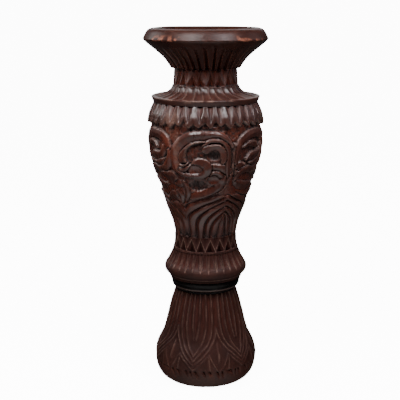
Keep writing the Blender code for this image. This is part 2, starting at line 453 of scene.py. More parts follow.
behind = [
    (BORE_R, dish_low), (BORE_R, RECESS_FLOOR),
    (RIM_IN_R - 1.5, RECESS_FLOOR), (RIM_IN_R, RECESS_FLOOR + 1),
]
candle_dish = dish.roll_up("carved_dish", behind)
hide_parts("candle_dish")

# %% [markdown]
# ## The neck and flange
#
# The neck band is chip-carved: 21 three-sided chips point up from its foot, and smaller ones
# point down from its top, which leaves a zigzag ridge between. One zigzag line makes both rows:
# the depth grows away from it on either side, so the ridge comes out sharp by itself. Below,
# shallow gouges fan out over the flare to the flange's edge, which stays smooth.

# %% Outline of the neck
FLANGE_TOP = (44.6, 249.4)

band = smooth([(27.0, neck_high), (26.8, 266), (27.3, 259.4)], 0.35)
flare = smooth(
    [(27.8, 258.7), (28.7, 256.4), (30.6, 253.8), (34.0, 251.8), (39.5, 250.2), FLANGE_TOP], 0.45
)
flange_edge = smooth([FLANGE_TOP, (45.5, 249.0), (45.6, 248.3), (44.9, 246.4), (44.1, neck_low)], 0.4)
neck = Sheet(np.vstack([band, flare[:-1], flange_edge]), 600)
print(f"neck sheet: {len(neck.depth)} rows of {neck.columns} points")

# %% Carve the chips
CHIPS = 21
CHIP_FOOT = 258.6
CHIP_DEPTH, SMALL_CHIP_DEPTH = 3.6, 1.7
BAND_FOOT = 258.9

wander = 1.6 * ripple(neck.angle, 11, 12, 6)
chip_side = np.abs(wrap(neck.angle - 8.5 + wander, 360 / CHIPS)) / (180 / CHIPS)
apex = 268.2 + 0.8 * ripple(neck.angle, 12, 10, 7)
under_ridge = 1 - chip_side - (neck.height - CHIP_FOOT) / (apex - CHIP_FOOT)
in_band = neck.height > BAND_FOOT
large_chips = CHIP_DEPTH * np.clip(under_ridge, 0, 1) ** 0.8
small_chips = SMALL_CHIP_DEPTH * np.clip(-under_ridge, 0, 1)
neck.depth = np.where(under_ridge > 0, large_chips, small_chips) * in_band
neck.depth += 0.7 * line_at(neck.height, BAND_FOOT, 0.5)
print(f"{CHIPS} chips, up to {neck.depth.max():.1f} mm deep")

# %% Carve the fan, and a nick in the flange's edge
RAYS = 32
RAY_LEAN = 0.5
RAY_DEPTH = 0.95
NICK_AT = -18.5

lean = neck.angle - 9 - RAY_LEAN * (258 - neck.height) + 1.2 * ripple(neck.angle, 13, 12, 6)
fan = np.abs(wrap(lean, 360 / RAYS)) / (180 / RAYS)
fan_zone = fade(neck.height, 249.35, 249.9) * fade(neck.height, 258.6, 257.6)
neck.depth += RAY_DEPTH * np.cos(np.pi / 2 * fan) * fan_zone
neck.depth += 0.10 * grain(neck.angle.shape, 12, 14) * fade(neck.height, 259, 258)
on_edge = fade(neck.height, 250.2, 249.6) * fade(neck.height, 246.6, 247.6)
nick = np.clip(1 - np.abs(wrap(neck.angle - NICK_AT)) / 6, 0, 1) * on_edge
neck.depth += 0.7 * nick * grain(neck.angle.shape, 6, 15)
print(f"{RAYS} rays, {360 / RAYS:.1f} degrees apart")

# %% Wear and painted shade on the neck
rubbed_edge = fade(neck.height, 249.8, 249.3) * fade(neck.height, 247.9, 248.5)
neck.wear_and_highlight = 0.5 * fan_zone * fade(fan, 0.80, 0.98) * fade(neck.height, 257, 253)
neck.wear_and_highlight += 0.6 * rubbed_edge * fade(grain(neck.angle.shape, 9, 16), 0.45, 0.75) + 0.9 * nick
# Painted shade darkens the chips' pits and the flange's lower edge, which faces down. The fan is
# darkened a little too.
neck.dirt_and_shade = 0.7 * in_band * fade(neck.depth, 1.7, 3.2)
neck.dirt_and_shade += 0.4 * fade(neck.height, 249.0, 248.4) + 0.12 * fan_zone
neck.stain = 0.35 * fade(neck.height, 249.4, 248.6) + 0.3 * fade(neck.height, 258.6, 259.4)

behind = [(BORE_R, neck_low), (BORE_R, neck_high)]
neck_flange = neck.roll_up("carved_neck", behind)
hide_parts("neck_flange")

# %% [markdown]
# ## The vase: collar and scrolls
#
# The vase is one turning, but it is carved in two sheets that meet in the groove under its long
# flutes, so that each mesh stays light. The upper sheet has a collar of 35 hanging teeth, then
# the scroll band and the long flutes. The scroll band is a motif 120 degrees wide, carved three
# times round. Its ribbons stand on a sunken ground that the carver matted with a punch.

# %% Outline of the vase
VASE_SPLIT = 131.0
MOTIF = 120.0
COLLAR_FOOT = (48.9, 227)

collar = smooth(
    [(43.9, vase_high), (45.8, 240), (47.5, 236), (48.5, 232), (49.05, 229), COLLAR_FOOT], 0.6
)
bowl = smooth(
    [COLLAR_FOOT, (48.9, 222), (48.9, 214), (48.5, 207), (47.2, 198), (45.1, 190), (42.2, 181),
     (39.3, 171), (36.5, 164), (33.7, 155), (31.0, 148), (28.6, 141), (27.2, 134), (27.0, VASE_SPLIT)],
    0.66,
)
vase = Sheet(np.vstack([collar[:-1], bowl]), 540)
print(f"vase sheet: {len(vase.depth)} rows of {vase.columns} points")

# %% Carve the collar's teeth
TEETH = 35
TIP = 227.8
LENS_DEPTH = 1.9
FULL_GROUND = 3.2

# The lower edge is a zigzag, and the sheet drops away beneath it to the sunken ground.
tooth_angle = vase.angle + 0.6 * ripple(vase.angle, 21, 12, 6)
from_notch = np.abs(wrap(tooth_angle + 0.9, 360 / TEETH))
from_tip = 180 / TEETH - from_notch
tip_height = TIP + 1.2 * ripple(vase.angle, 22, 14, 9)
tooth_edge = tip_height + 1.0 * np.clip(from_tip - 0.6, 0, None)
flared = 0.5 * (1 - np.clip(from_notch / 2.4, 0, 1)) ** 2 * fade(vase.height, 236, 232)

# A gouge cut, shaped like a lens on end, runs down the middle of every tooth.
lens_half = 0.2 + 3.2 * fade(vase.height, 230.5, 243)
lens = np.clip(1 - from_tip / lens_half, 0, 1) * fade(vase.height, 230.5, 233)
tooth = flared + LENS_DEPTH * lens + 0.12 * from_tip / 5
ground = FULL_GROUND - 1.4 * fade(vase.height, 191, 177)
vase.depth = np.where(vase.height > tooth_edge, tooth, ground)
print(f"{TEETH} teeth, {360 / TEETH:.1f} degrees apart")

# %% [markdown]
# ### Scrolls
#
# The scrolls are bands of wood that curl, swell and cross. Sculpting could shape them, but not
# the same way twice. Here each ribbon is a list of (angle, height) points from its root to its
# curl, with its widths. Later ribbons lie over earlier ones, and each cuts its own trench, so a
# crossing reads as one band passing over another.

# %% Carve the scrolls


def scroll(points, widths, **cut):
    """A ribbon on the vase, once in every motif."""
    ribbon(vase, points, widths, period=MOTIF, **cut)


def bowl_of(centre, reach_across, reach_up, rim, deepest, hollow_shade=0.0):
    """A scooped hollow in the vase, once in every motif, with painted shade of the given darkness."""
    scoop_out(vase, centre, reach_across, reach_up, rim, deepest, hollow_shade, MOTIF)


# The front panel: first the thin line that frames it, and the hollows that its curls turn round.
# The lowest hollow is darkened with painted shade.
scroll(
    [(30, 214), (30.2, 205), (29.6, 196), (28.2, 188), (25.4, 181.6), (20, 176.2), (12, 172.8),
     (3, 170.8), (-5, 169.2)],
    [2.4, 1.8, 1.8, 2.2, 3.0, 3.2, 2.8, 2.2, 1.2],
    left=0.4, right=0.3, moat=0.8,
)
bowl_of((-10.5, 192.6), 8.6, 5.2, 1.2, 2.6)
bowl_of((-9, 178.6), 11.5, 4.6, 3.2, 4.6, hollow_shade=0.45)
bowl_of((-23.5, 198.6), 5, 2.6, 1.4, 2.8)

# %% The hook and the leaf
# The bar that ties the hook to the middle, the hook, the leaf under the bar and the leaf's curl.
scroll(
    [(2.6, 195.6), (8, 195.6), (14, 195), (20, 193.2), (25.6, 191.4)],
    [4.0, 5.0, 5.4, 7.0, 5.0],
    left=0.5, right=0.4, top=0.2,
)
scroll(
    [(24.4, 187), (24, 192), (23.6, 198), (23.4, 204), (22.8, 209.4), (20.2, 214), (15.5, 217.2),
     (9, 217.9), (3, 217), (-0.4, 214.4), (-1.6, 211.2), (0.6, 208.6), (4.5, 208)],
    [2.4, 3.6, 4.4, 4.6, 4.2, 3.8, 3.4, 3.2, 3.2, 3.8, 4.6, 4.0, 1.4],
    ridge=[0.3, 0.3, 0.2, -0.2, -0.3], left=0.5, right=0.8, trench=1.6,
)
scroll(
    [(16.4, 188.6), (19.4, 185.8), (19, 182), (15.8, 178.6), (10.5, 175.8), (4, 173.6), (-3, 172),
     (-10, 170.6), (-17, 169), (-22.5, 167.7)],
    [3.6, 5.4, 6.6, 6.8, 6.0, 6.0, 6.4, 6.4, 5.0, 1.6],
    ridge=[0.1, 0.1, 0.5, 0.7, 0.6], left=0.4, right=[0.6, 0.8, 1.8, 2.0, 1.6],
)
bowl_of((8.6, 184), 7.2, 4.2, 0.8, 2.2)
scroll(
    [(0.4, 184.2), (2.6, 188), (7.4, 190.3), (12.6, 190.2), (17, 187.8)],
    [1.0, 2.2, 3.2, 3.8, 4.4],
    ridge=0.3, left=0.9, right=0.5,
)

# %% The inner curl and the arch
# The curl inside the hook, round the deepest hollow, which is darkened with painted shade.
bowl_of((9.5, 204.6), 6.6, 4.4, 3.6, 5.4, hollow_shade=0.55)
scroll(
    [(0.4, 210.2), (4.6, 211.6), (9.6, 212.4), (14.4, 211.2), (17.6, 207.4), (18.6, 202.6),
     (17.6, 198.8)],
    [6.4, 5.4, 4.6, 5.2, 5.4, 4.6, 2.2],
    ridge=0.7, left=0.3, right=[0.9, 1.4, 1.8, 1.4, 0.8],
)

# The great arch, which comes round below as a spoon-shaped leaf.
scroll(
    [(27.4, 212), (24, 216.6), (19.4, 220), (14, 222.2), (8, 222.7), (3, 222.4), (-2, 221.9),
     (-8.5, 221.5), (-15, 220.4), (-21, 218.2), (-26.5, 214.8), (-31, 210), (-33.4, 204.6),
     (-33.8, 199.4), (-32.4, 195), (-29, 191.6), (-24.6, 189.2), (-18.6, 187.8), (-12, 187.4),
     (-5, 187.9), (0.4, 190.6), (1.9, 194.4), (-1.2, 197.8), (-6.6, 199.6), (-11.6, 199.4),
     (-14.6, 198)],
    [2.4, 3.6, 4.6, 5.0, 5.4, 6.2, 7.6, 8.2, 8.4, 8.6, 8.6, 8.6, 8.8, 8.4, 7.4, 6.0, 4.8, 4.2, 4.4, 5.2,
     6.8, 8.0, 8.4, 7.0, 4.0, 1.0],
    ridge=[0.1, 0.2, 0, -0.25, -0.3, -0.3, -0.2, 0, 0, 0.3, 0.6, 0.6, 0.2],
    left=[0.6, 1.4, 1.9, 1.8, 1.6, 1.2, 1.2], right=[1.2, 1.6, 1.6, 1.2, 0.6, 0.9, 1.5],
)
scroll(
    [(-1.5, 216.7), (-8, 216.3), (-14, 214.8), (-18.6, 212.1), (-21.8, 208.6), (-24, 204.6),
     (-23.8, 201.8), (-20.8, 200)],
    [1.0, 1.8, 2.2, 2.6, 3.6, 6.4, 6.6, 2.2],
    ridge=0.3, left=0.5, right=0.8,
)
scroll(
    [(-28.4, 197.6), (-24.4, 196.4), (-20.6, 196.9), (-18.2, 199)],
    [0.8, 1.4, 1.6, 0.9],
    left=0.3, right=0.3, moat=0.7, trench=2.2,
)
scroll(
    [(-27.6, 193), (-23.6, 192.9), (-19.8, 194.4), (-17, 196.2)],
    [2.6, 4.2, 3.0, 1.2],
    left=0.7, right=0.5, top=0.1,
)

print(f"front panel cut up to {vase.depth.max():.1f} mm")

# %% The side panel
# From its near edge round to the next motif.
scroll(
    [(34.6, 189), (33.4, 196), (33.4, 203), (34.8, 210), (38.4, 215.2), (44, 218.8), (52, 220.8),
     (61, 221.2), (70, 219.8), (76, 216.2), (78.6, 211.4)],
    [3.0, 4.0, 5.0, 6.6, 7.8, 8.2, 8.0, 7.8, 8.0, 9.0, 7.6],
    ridge=[0.5, 0.5, 0, 0, 0, 0.2], left=0.8, right=1.4,
)
scroll(
    [(39.5, 210.6), (45, 212.2), (51.5, 213), (58, 212.2), (62.6, 209.2)],
    [1.6, 3.8, 4.8, 5.6, 2.6],
    ridge=0.4, left=0.4, right=1.1, top=0.2,
)
scroll([(34.5, 194.8), (39, 195.4), (44.4, 196.2)], [4.8, 7.0, 2.0], left=0.8, right=0.5, top=0.3)
scroll(
    [(46, 200), (53, 202), (60, 202.3), (67, 203.2), (72, 206.5), (73.4, 212)],
    [3.0, 7.6, 8.4, 7.0, 5.2, 2.0],
    ridge=0.3, left=0.7, right=1.3, top=0.1,
)
scroll(
    [(36.3, 182.4), (38.4, 187), (42.4, 190), (48, 191.2), (55, 191.2), (62, 189.8), (70, 192.6),
     (77, 196.8), (80.4, 203), (80.4, 209)],
    [4.6, 5.4, 5.6, 5.8, 6.2, 6.4, 7.0, 6.6, 4.2, 1.8],
    ridge=0.2, left=0.7, right=1.2,
)
scroll(
    [(52, 196.4), (60, 196), (68, 198), (73, 200.6)],
    [2.2, 4.4, 4.8, 2.0],
    left=0.6, right=0.6, top=0.4,
)
scroll(
    [(37.5, 180.2), (44, 178), (52, 176.8), (60, 176.2), (69, 178.4)],
    [5.0, 7.4, 7.2, 7.0, 2.6],
    ridge=0.3, left=0.8, right=1.2, top=0.2,
)

# Leaf lobes that hang below the side panel, in the valley between the long flutes.
scroll(
    [(-54, 187), (-47, 184.6), (-41, 184), (-37.8, 182)],
    [5.0, 10.4, 12.4, 8.4],
    ridge=0.4, left=0.7, right=1.9,
)
scroll([(-36.6, 179.2), (-32, 180), (-27, 180.4)], [3.6, 7.0, 3.8], left=1.0, right=0.8, top=0.3)
scroll(
    [(-52, 165.4), (-45, 167), (-39, 167.4), (-35, 166)],
    [7.0, 11.4, 11.4, 6.4],
    ridge=0.4, left=0.7, right=1.8,
)
scroll(
    [(-25.2, 182), (-22.8, 176), (-22.8, 170.5), (-26, 165.6)],
    [2.8, 4.6, 4.8, 2.4],
    left=0.7, right=1.0, top=0.2,
)
scroll([(-36, 173.6), (-32.6, 169), (-33, 163.6)], [3.0, 6.0, 3.0], left=0.9, right=0.9, top=0.3)

# %% [markdown]
# ### Long flutes
#
# Under the scrolls, nested flutes rise to a point every 120 degrees and turn straight down to the
# waist. Each groove is written once for the right half of a motif, and mirrored by measuring the
# angle from the motif's point without its sign, which is shorter than listing both halves and
# keeps them alike. The grooves widen where they run out.

# %% Chevrons round the waist
CHEVRONS = 20


def chevron_side(sheet):
    """0 in the middle of each chevron round the waist and 1 halfway to the next."""
    drifted = sheet.angle + 1.3 * ripple(sheet.angle, 41, 12, 5)
    return np.abs(wrap(drifted + 9, 360 / CHEVRONS)) / (180 / CHEVRONS)


between_chevrons = chevron_side(vase)
print(f"{CHEVRONS} chevrons, {360 / CHEVRONS:.0f} degrees apart")

# %% Carve the long flutes
POINT_AT = 29.0
RIDGE_DEPTH = 0.3
FLUTE_DEPTH = 2.7
LOW = VASE_SPLIT

half_flutes = [
    [(12, 171.6), (24, 168.4), (36, 166.6), (48, 163.8), (55, 161.6), (60, 158)],
    [(0, 170.4), (9, 167), (19, 164.3), (29, 162), (39, 159), (47, 156), (54, 152.6), (58.8, 148),
     (60, 142), (60, LOW)],
    [(0, 165.4), (9, 162.6), (19, 159.6), (29, 156), (37, 152.4), (43, 147.8), (45.8, 142), (45.6, LOW)],
    [(0, 160.3), (9, 157.3), (19, 153), (26.4, 148), (30.8, 142), (33, LOW)],
    [(0, 155.6), (8.6, 151), (15.6, 146), (19.8, 140), (21, LOW)],
    [(0.5, 152.6), (4.2, 147), (6.6, 140.6), (9, LOW)],
]
flute_top = 176.0 - 0.42 * np.abs(wrap(vase.angle - POINT_AT, MOTIF)) ** 0.86
fluted = vase.height < np.minimum(flute_top, 169.5)
vase.depth = np.where(fluted & (vase.depth >= ground), RIDGE_DEPTH, vase.depth)

true_angle = vase.angle
vase.angle = np.abs(wrap(true_angle - POINT_AT + 0.7 * ripple(true_angle, 31, 8, 3), MOTIF))
for points in half_flutes:
    groove(vase, points, [0.7, 0.8, 0.9, 1.1, 1.6], [2.0, 2.4, 2.6, 2.8, 3.0], FLUTE_DEPTH)
vase.angle = true_angle

# The flutes run out over a scalloped ledge above the chevrons.
ledge_at = 132.0 + 3.2 * between_chevrons**1.5 + 0.4 * ripple(vase.angle, 35, 14, 10)
ledge_cut = 0.9 + 1.0 * between_chevrons * fade(vase.height, 131.2, 133.4)
run_out = ledge_cut * (vase.height < ledge_at)
vase.depth = np.maximum(vase.depth, run_out)
print(f"{len(half_flutes)} grooves to each half motif")

# %% Stain on the vase
SCROLL_LOW, SCROLL_HIGH = 165, 226

# One side of every motif has had its glaze rubbed thin, so that the mahogany shows.
rubbed_side = fade(np.abs(wrap(vase.angle + 38, MOTIF)), 16, 6) * fade(vase.height, 186, 194)
in_scrolls = (vase.height > SCROLL_LOW) & (vase.height < SCROLL_HIGH)
vase.stain = 0.9 * lens + 0.4 * fade(vase.height, 152, 134)
vase.stain += 0.25 * fade(vase.height, 168, 164) + 0.25 * in_scrolls
vase.stain += 0.8 * rubbed_side * fade(vase.height, 226, 216)
vase.wear_and_highlight = 0.35 * rubbed_side * fade(grain(vase.angle.shape, 14, 36), 0.4, 0.8)
print(f"the glaze is rubbed thin on {rubbed_side.mean():.0%} of the sheet")

# %% Mat the ground
PUNCH_DEPTH = 0.9

deep = fade(vase.depth, 2.4, 3.0) * (vase.height > SCROLL_LOW)
punch = grain(vase.angle.shape, 2.6, 32)
vase.depth += deep * (PUNCH_DEPTH * (punch - 0.5))
# Painted shade darkens the matted ground, most in the punch's deeper pits, and the deepest hollows more
# still.
punched_shade = deep * (0.2 + 0.5 * fade(punch, 0.35, 0.75)) * (1 - 0.7 * rubbed_side)
vase.dirt_and_shade += punched_shade + 0.8 * fade(vase.depth, 4.0, 5.0)
print(f"matted ground covers {deep.mean():.0%} of the sheet")

# %% Painted shade and painted glints on the vase, and roll it up
DEEPEST = 5.5

# Painted shade lies on the ledge where the long flutes run out, on the band above it, most between the
# chevrons, and in the gouges of the teeth.
ledge_shade = 0.9 * fade(vase.height, 141, 135.5) * (0.35 + 0.65 * between_chevrons)
vase.dirt_and_shade += 0.75 * fade(run_out, 0.95, 1.6) + ledge_shade
vase.dirt_and_shade += 0.35 * fade(lens, 0.05, 0.4) * (vase.height > 229)
# Light specks on the matted ground are painted glints.
specks = grain(vase.angle.shape, 2.2, 37)
vase.wear_and_highlight += 0.45 * deep * fade(specks, 0.62, 0.85) * (1 - vase.dirt_and_shade)
# Painted shade in the grooves of the long flutes, darker near the ledge.
in_flutes = fade(vase.height, 168, 164) * fade(vase.depth, 1.5, 2.5)
vase.dirt_and_shade += in_flutes * (0.5 + 0.4 * fade(vase.height, 140, 134))
vase.depth += 0.16 * (grain(vase.angle.shape, 9, 33) - 0.5)
vase.depth += 0.10 * (grain(vase.angle.shape, 4, 34) - 0.5)
vase.depth = np.clip(vase.depth, 0, DEEPEST)

behind = [(BORE_R, VASE_SPLIT), (BORE_R, vase_high)]
carved_vase = vase.roll_up("carved_vase", behind)
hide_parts("vase_body")

# %% [markdown]
# ## The waist and skirt
#
# The lower sheet of the vase has a collar of chip-carved chevrons with a thin rim under it, then
# 32 short gouge cuts that run down the flare and end in rounded points above a smooth edge. The
# chevrons follow the neck's rule, a depth that grows away from one zigzag line, and they use the
# same angles as the ledge above them, so that the two sheets agree where they meet.

# %% Outline of the skirt
WAIST_FOOT = (28.2, 118.2)
SKIRT_FOOT = (32.5, 95.5)

waist = smooth(
    [(27.0, VASE_SPLIT), (26.8, 128), (26.9, 124), (27.3, 120.6), (27.9, 119.2), WAIST_FOOT], 0.35
)
flank = smooth(
    [WAIST_FOOT, (28.9, 116), (30.4, 112), (32.4, 108), (34.3, 104.8), (35.4, 102.4), (35.6, 101),
     (35.2, 99), (34.2, 97.2), SKIRT_FOOT],
    0.4,
)
tuck = smooth([SKIRT_FOOT, (31.9, 95.0), (31.5, 94.2), (31.4, vase_low)], 0.3)
skirt = Sheet(np.vstack([waist[:-1], flank[:-1], tuck]), 560)
print(f"skirt sheet: {len(skirt.depth)} rows of {skirt.columns} points")

# %% Carve the chevrons
CHEVRON_FOOT = 119.8
PIT_DEPTH = 4.0

upward = chevron_side(skirt)
chevron_top = 129.8 + 0.6 * ripple(skirt.angle, 46, 12, 7)
under_ridge = 1 - upward - (skirt.height - CHEVRON_FOOT) / (chevron_top - CHEVRON_FOOT)
in_waist = skirt.height > CHEVRON_FOOT
pit = PIT_DEPTH * np.clip(under_ridge, 0, 1) ** 1.1 * in_waist
skirt.depth = np.where(under_ridge > 0, pit, 1.5 * np.clip(-under_ridge, 0, 0.8)) * in_waist
rim_at = 118.2 + 1.4 * upward + 0.5 * ripple(skirt.angle, 45, 14, 8)
skirt.depth += 0.3 * line_at(skirt.height, rim_at + 0.9, 0.5)
skirt.depth += 0.25 * fade(skirt.height, rim_at, rim_at - 0.8) * fade(skirt.height, 112, 117)
print(f"chevrons cut up to {skirt.depth.max():.1f} mm")

# %% Carve the tongues
TONGUES = 32
TONGUE_TOP = 117.5
TONGUE_DEPTH = 1.3

side = np.abs(wrap(skirt.angle - 4 + 0.9 * ripple(skirt.angle, 42, 12, 6), 360 / TONGUES))
end = 102.6 + 1.0 * ripple(skirt.angle, 43, 12, 9)
run = np.clip((skirt.height - end) / (117.4 - end), 0, 1)
tongue_half = 2.6 * np.sqrt(np.clip(run * 1.6, 0, 1)) + 0.01
tongue = np.clip(1 - (side / tongue_half) ** 2, 0, 1) * (skirt.height < TONGUE_TOP)
between = fade(side, 2.2, 4.2) * fade(skirt.height, 104.5, 108.5) * (skirt.height < TONGUE_TOP)
skirt.depth += TONGUE_DEPTH * tongue * fade(run, 0, 0.3) + 0.8 * between
skirt.depth += 0.14 * (grain(skirt.angle.shape, 8, 44) - 0.5)
print(f"{TONGUES} gouge cuts, {360 / TONGUES:.1f} degrees apart")

# %% Wear, painted shade and painted highlights on the skirt
TUCK = 95.6

# A painted highlight along the skirt's lower edge.
tuck_highlight = line_at(skirt.height, TUCK, 0.35)
above_rim = skirt.height > rim_at + 0.3
# The chevron band is darkened throughout, and painted shade deepens in the large pits and the small
# chips.
chevron_shade_and_dirt = 0.62 + 0.65 * fade(pit, 1.5, 2.6) + 0.4 * fade(-under_ridge, 0.3, 0.8)
skirt.stain = 0.75 * between + 0.35 * fade(skirt.height, 118, 122)
# Painted shade lies in the cut-down gaps between the gouges.
skirt.dirt_and_shade = chevron_shade_and_dirt * above_rim + 0.5 * between
# Painted shade on the lowest band, where the flank turns to face down, and a lighter darkening of the
# smooth band above it. The flank also darkens towards its top under the rim.
skirt.dirt_and_shade += 0.4 * fade(skirt.height, 99, 97) + 0.25 * fade(skirt.height, 104.5, 101.5)
skirt.dirt_and_shade += 0.35 * fade(skirt.height, 107, 115) * (skirt.height < rim_at)
# The painted highlight on the edge, and a painted sheen on the lower halves of the gouge cuts.
skirt.wear_and_highlight = 1.6 * tuck_highlight + 0.42 * fade(tongue, 0.0, 0.5) * fade(run, 0.85, 0.2)
skirt.wear_and_highlight += 0.85 * fade(np.abs(under_ridge), 0.14, 0.04) * above_rim
skirt.depth = np.clip(skirt.depth, 0, PIT_DEPTH)

behind = [(BORE_R, vase_low), (BORE_R, VASE_SPLIT)]
carved_skirt = skirt.roll_up("carved_skirt", behind)
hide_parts("vase_body")

# %% [markdown]
# ## The bead between vase and base
#
# This ring isn't carved. Its cushion shape is nearly a quarter of an ellipse, fullest just under
# the skirt, with one shallow groove turned round it. An ellipse is written down exactly with a
# sine and a cosine, so it needs no curve through points. Its near-black lacquer is kept darker
# than lacquer to stand in for the shade under the skirt, and a painted highlight runs along its
# lower edge.

# %% Turn the bead
middle_r, middle_z, reach_out, reach_down = 24.4, 90.6, 6.0, 8.4
first_turn, last_turn, steps = 10, -70, 44

turns = np.radians(np.linspace(first_turn, last_turn, steps))
bead = np.stack([middle_r + reach_out * np.cos(turns), middle_z + reach_down * np.sin(turns)], axis=1)
neck_in = smooth([(28.8, ring_high), tuple(bead[0])], 0.3)
foot_out = smooth([tuple(bead[-1]), (26.4, ring_low)], 0.3)
ring = Sheet(np.vstack([neck_in[:-1], bead, foot_out[1:]]), 256)
ring.depth = 0.10 * grain(ring.angle.shape, 7, 51)
ring.depth += 0.6 * line_at(ring.height, 88.2, 1.6)
# A painted highlight along the bead's lower edge.
ring.wear_and_highlight = 0.5 * line_at(ring.height, 85.4, 0.6)

behind = [(BORE_R, ring_low), (BORE_R, ring_high)]
bead_ring = ring.roll_up("turned_bead", behind)
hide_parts("joint_ring")

# %% [markdown]
# ## The bell
#
# Six lotus petals hang round the bell. Sharp ridges start side by side at the top, gather into
# each petal and meet at its tip. The wood between two ridges is gouged hollow. Drawing every
# hollow would mean drawing every ridge twice, so the depth follows from the distance to the
# nearest ridge. The motif mirrors about the petal's middle and about the gap between petals, so
# its ridges are written once, for 30 degrees.

# %% Outline of the bell
PETAL = 60.0
PETAL_AT = -14.0
RIDGE_TOP = 84

profile = smooth(
    [(26.4, base_high), (27.5, 78.4), (29.6, 72), (31.7, 64), (33.7, 56), (35.6, 48), (38.0, 40.4),
     (40.9, 35), (43.0, 30), (44.4, 25), (44.9, 21), (44.8, 15.6), (43.7, 10.2), (42.0, 6.3),
     (39.6, 3.0), (36.4, base_low)],
    0.62,
)
bell = Sheet(profile, 600)
print(f"bell sheet: {len(bell.depth)} rows of {bell.columns} points")

# %% Measure the distance to the ridges
FAR = 6.0

ridges = [
    [(2, 44), (4, 52), (5.2, 62), (4.8, RIDGE_TOP)],
    [(0, 31.2), (7.4, 38.6), (12, 46), (14.8, 54), (15.4, 62), (14, RIDGE_TOP)],
    [(0, 27), (8.5, 34.2), (16.4, 40), (21.4, 46.6), (23.6, 54), (24.4, 62), (23.8, RIDGE_TOP)],
    [(0, 23.2), (8.4, 29), (14, 33), (21.4, 39), (27, 45.4), (30, 53)],
    [(0, 19.6), (8.4, 25.2), (16.4, 31)],
    [(18.4, 32.4), (23.4, 25.2), (28.6, 18)],
    [(17.6, 31), (19.6, 19.4)],
    [(30, 41), (29.4, 26)],
]
true_angle = bell.angle
drift = 1.0 * ripple(true_angle, 61, 8, 3)
bell.angle = np.abs(wrap(true_angle - PETAL_AT + drift, PETAL))
nearest = np.full(bell.angle.size, FAR)
for points in ridges:
    found, gap, _, _ = reach(bell, points, 360.0, FAR)
    nearest[found] = np.minimum(nearest[found], gap)
nearest = nearest.reshape(bell.angle.shape)
bell.angle = true_angle
print(f"{len(ridges)} ridges to each half petal")

# %% Carve the petals
BAND_DEPTH = 0.55

full_width = 1.7 + 1.2 * fade(bell.height, 40, 60)
scoop = 1 - (1 - np.clip(nearest / full_width, 0, 1)) ** 2
strength = 0.75 + 0.9 * fade(bell.height, 34, 70)
carved = fade(bell.height, 15, 20)
bell.depth = scoop * strength * carved + BAND_DEPTH * (1 - carved)
print(f"petals cut up to {bell.depth.max():.1f} mm")

# %% Carve the row of dashes round the foot
DASHES = 48
DASH_LEAN = 0.5
DASH_DEPTH = 1.6

slant = bell.angle - DASH_LEAN * (18 - bell.height) + 1.4 * ripple(bell.angle, 62, 14, 8)
dash = np.abs(wrap(slant - 5, 360 / DASHES))
dash_low = 10.6 + 2.2 * ripple(bell.angle, 63, 14, 12)
dash_run = fade(bell.height, dash_low, 17.4) * (bell.height < 18.2)
dash_cut = np.clip(1 - dash / 2.4, 0, 1) * dash_run
bell.depth += DASH_DEPTH * dash_cut
bell.depth += 0.16 * (grain(bell.angle.shape, 9, 64) - 0.5)
bell.depth += 0.08 * (grain(bell.angle.shape, 4, 65) - 0.5)
bell.depth = np.clip(bell.depth, 0, 4)
print(f"{DASHES} dashes, petals every {PETAL:.0f} degrees")

# %% Wear, painted highlights and painted shade on the bell
PAD_R = 27.3
RECESS_TOP = felt_high + 0.3

# The ridge lines are lightened: a painted highlight, with some rubbing.
bell.wear_and_highlight = 0.27 * fade(nearest, 0.75, 0.2) * carved * fade(grain(bell.angle.shape, 10, 66), 0.15, 0.6)
# Painted shade darkens the dashes, the hollows between the ridges and the top under the bead. The bell
# above its foot is darker in tone too.
bell.dirt_and_shade = 0.6 * fade(dash_cut, 0.3, 0.8) + 0.2 * fade(bell.height, 12, 30)
bell.dirt_and_shade += 0.42 * fade(nearest, 0.3, 1.6) * fade(bell.height, 18, 34) + 0.4 * fade(bell.height, 74, 84)
bell.stain = 0.8 * fade(bell.height, 34, 62) * fade(nearest, 0.8, 2.2)

behind = [(PAD_R, base_low), (PAD_R, RECESS_TOP), (BORE_R, RECESS_TOP), (BORE_R, base_high)]
carved_bell = bell.roll_up("carved_bell", behind)
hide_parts("bell_base")

# %% [markdown]
# ## Materials
#
# The wood is one finish with several layers: mahogany stain that shows where the knife went in,
# an almost black glaze over everything raised, a dark colour painted into the deepest cuts as
# shade and here and there as a darker tone, and bare, pinkish wood where edges have rubbed, which
# also draws painted highlights. A painted image could hold the layers, but it would need the piece
# unwrapped. The three numbers on each vertex steer them instead, and noise on Object coordinates
# breaks them up. The same recipe is used three times: polished on the dish, satin on the neck and
# the vase, and dry on the skirt and the bell.

# %% Material helpers


def shader(name):
    """A new material with its node tree and its Principled shader."""
    material = bpy.data.materials.new(name)
    material.use_nodes = True
    return material, material.node_tree, material.node_tree.nodes["Principled BSDF"]


def noise(tree, scale, detail=4.0, stretch=(1, 1, 1), distortion=0.0):
    """Noise read at the object's own coordinates, in metres, times stretch and scale."""
    place = tree.nodes.new("ShaderNodeTexCoord")
    mapping = tree.nodes.new("ShaderNodeMapping")
    mapping.inputs["Scale"].default_value = stretch
    texture = tree.nodes.new("ShaderNodeTexNoise")
    texture.inputs["Scale"].default_value = scale
    texture.inputs["Detail"].default_value = detail
    texture.inputs["Distortion"].default_value = distortion
    tree.links.new(place.outputs["Object"], mapping.inputs["Vector"])
    tree.links.new(mapping.outputs["Vector"], texture.inputs["Vector"])
    return texture.outputs["Fac"]


